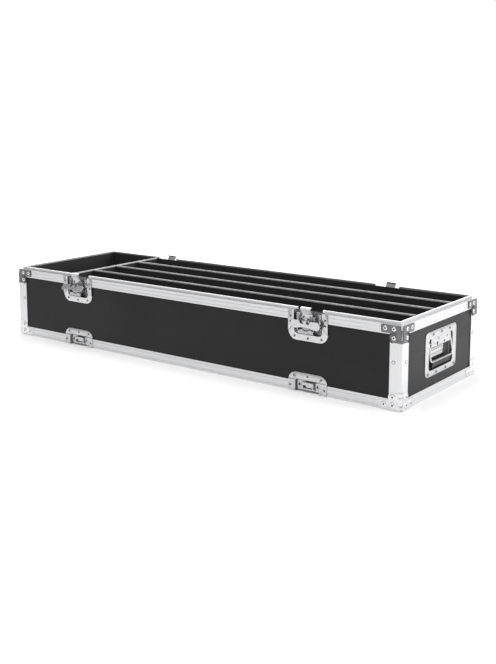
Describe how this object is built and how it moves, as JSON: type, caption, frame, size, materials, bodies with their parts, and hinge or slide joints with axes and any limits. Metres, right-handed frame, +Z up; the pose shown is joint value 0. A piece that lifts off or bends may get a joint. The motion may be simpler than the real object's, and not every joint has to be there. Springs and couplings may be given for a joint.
{
  "type": "flight case base",
  "caption": "Long low road case base with aluminium edges, recessed butterfly latches, sprung end handles and an inside split by dividers into a compartment and long channels.",
  "frame": {"origin": "on the floor, under the middle of the case (bottom centre of the whole object's box)", "axes": "+X along the length to the right end, +Y from the front to the rear, +Z up"},
  "size_m": [1.2334, 0.4374, 0.2013],
  "materials": {
    "black_laminate": "black phenolic laminate on plywood, low sheen",
    "aluminium": "bright drawn aluminium with fine lengthways lines",
    "zinc_steel": "bright zinc plated pressed steel",
    "brace_steel": "darker zinc plated steel, satin",
    "rubber": "matt moulded rubber",
    "divider_board": "matt black faced board",
    "divider_trim": "light grey edging"
  },
  "bodies": {
    "case": {"front_panel": "black_laminate", "rear_panel": "black_laminate", "left_panel": "black_laminate", "right_panel": "black_laminate", "floor_panel": "black_laminate", "front_rim": "aluminium", "front_base_angle": "aluminium", "rear_rim": "aluminium", "rear_base_angle": "aluminium", "left_rim": "aluminium", "left_base_angle": "aluminium", "right_rim": "aluminium", "right_base_angle": "aluminium", "front_left_corner_angle": "aluminium", "front_left_corner_brace": "brace_steel", "front_left_corner_cap": "zinc_steel", "front_right_corner_angle": "aluminium", "front_right_corner_brace": "brace_steel", "front_right_corner_cap": "zinc_steel", "rear_left_corner_angle": "aluminium", "rear_left_corner_brace": "brace_steel", "rear_left_corner_cap": "zinc_steel", "rear_right_corner_angle": "aluminium", "rear_right_corner_brace": "brace_steel", "rear_right_corner_cap": "zinc_steel", "front_left_latch_dish": "zinc_steel", "front_left_keeper": "zinc_steel", "front_right_latch_dish": "zinc_steel", "front_right_keeper": "zinc_steel", "rear_left_latch_dish": "zinc_steel", "rear_left_keeper": "zinc_steel", "rear_right_latch_dish": "zinc_steel", "rear_right_keeper": "zinc_steel", "left_handle_dish": "zinc_steel", "left_handle_spring": "zinc_steel", "right_handle_dish": "zinc_steel", "right_handle_spring": "zinc_steel", "cross_divider": "divider_board", "long_divider_1": "divider_board", "long_divider_2": "divider_board", "long_divider_3": "divider_board", "divider_edge_trim": "divider_trim"},
    "front_left_hook": {"front_left_latch_hook": "zinc_steel"},
    "front_left_rotor": {"front_left_latch_rotor": "zinc_steel"},
    "front_left_wing": {"front_left_latch_wing": "zinc_steel"},
    "front_right_hook": {"front_right_latch_hook": "zinc_steel"},
    "front_right_rotor": {"front_right_latch_rotor": "zinc_steel"},
    "front_right_wing": {"front_right_latch_wing": "zinc_steel"},
    "rear_left_hook": {"rear_left_latch_hook": "zinc_steel"},
    "rear_left_rotor": {"rear_left_latch_rotor": "zinc_steel"},
    "rear_left_wing": {"rear_left_latch_wing": "zinc_steel"},
    "rear_right_hook": {"rear_right_latch_hook": "zinc_steel"},
    "rear_right_rotor": {"rear_right_latch_rotor": "zinc_steel"},
    "rear_right_wing": {"rear_right_latch_wing": "zinc_steel"},
    "left_bail": {"left_handle_bail": "zinc_steel", "left_handle_grip": "rubber"},
    "right_bail": {"right_handle_bail": "zinc_steel", "right_handle_grip": "rubber"}
  },
  "joints": [
    {"name": "front_left_latch_turn", "type": "hinge", "parent": "case", "child": "front_left_rotor", "pos_m": [-0.373, -0.1915, 0.161], "axis": [0, 1, 0], "range_deg": [0, 180]},
    {"name": "front_left_hook_slide", "type": "slide", "parent": "case", "child": "front_left_hook", "axis": [0, 0, -1], "range_m": [0, 0.008]},
    {"name": "front_left_wing_fold", "type": "hinge", "parent": "front_left_rotor", "child": "front_left_wing", "pos_m": [-0.373, -0.2052, 0.1705], "axis": [-1, 0, 0], "range_deg": [-45, 45]},
    {"name": "front_right_latch_turn", "type": "hinge", "parent": "case", "child": "front_right_rotor", "pos_m": [0.373, -0.1915, 0.161], "axis": [0, 1, 0], "range_deg": [0, 180]},
    {"name": "front_right_hook_slide", "type": "slide", "parent": "case", "child": "front_right_hook", "axis": [0, 0, -1], "range_m": [0, 0.008]},
    {"name": "front_right_wing_fold", "type": "hinge", "parent": "front_right_rotor", "child": "front_right_wing", "pos_m": [0.373, -0.2052, 0.1705], "axis": [-1, 0, 0], "range_deg": [0, 90]},
    {"name": "rear_left_latch_turn", "type": "hinge", "parent": "case", "child": "rear_left_rotor", "pos_m": [-0.373, 0.1915, 0.161], "axis": [0, -1, 0], "range_deg": [0, 180]},
    {"name": "rear_left_hook_slide", "type": "slide", "parent": "case", "child": "rear_left_hook", "axis": [0, 0, -1], "range_m": [0, 0.008]},
    {"name": "rear_left_wing_fold", "type": "hinge", "parent": "rear_left_rotor", "child": "rear_left_wing", "pos_m": [-0.373, 0.2052, 0.1705], "axis": [1, 0, 0], "range_deg": [0, 90]},
    {"name": "rear_right_latch_turn", "type": "hinge", "parent": "case", "child": "rear_right_rotor", "pos_m": [0.373, 0.1915, 0.161], "axis": [0, -1, 0], "range_deg": [0, 180]},
    {"name": "rear_right_hook_slide", "type": "slide", "parent": "case", "child": "rear_right_hook", "axis": [0, 0, -1], "range_m": [0, 0.008]},
    {"name": "rear_right_wing_fold", "type": "hinge", "parent": "rear_right_rotor", "child": "rear_right_wing", "pos_m": [0.373, 0.2052, 0.1705], "axis": [1, 0, 0], "range_deg": [-45, 45]},
    {"name": "left_handle_swing", "type": "hinge", "parent": "case", "child": "left_bail", "pos_m": [-0.607, 0, 0.122], "axis": [0, 1, 0], "range_deg": [0, 80], "stiffness_Nm_per_rad": 0.12, "springref_deg": -20.05},
    {"name": "right_handle_swing", "type": "hinge", "parent": "case", "child": "right_bail", "pos_m": [0.607, 0, 0.122], "axis": [0, -1, 0], "range_deg": [0, 80], "stiffness_Nm_per_rad": 0.12, "springref_deg": -20.05}
  ],
  "couplings": [
    {"joint": "front_left_hook_slide", "follows": "front_left_latch_turn", "m_per_rad": 0.002546},
    {"joint": "front_right_hook_slide", "follows": "front_right_latch_turn", "m_per_rad": 0.002546},
    {"joint": "rear_left_hook_slide", "follows": "rear_left_latch_turn", "m_per_rad": 0.002546},
    {"joint": "rear_right_hook_slide", "follows": "rear_right_latch_turn", "m_per_rad": 0.002546}
  ]
}
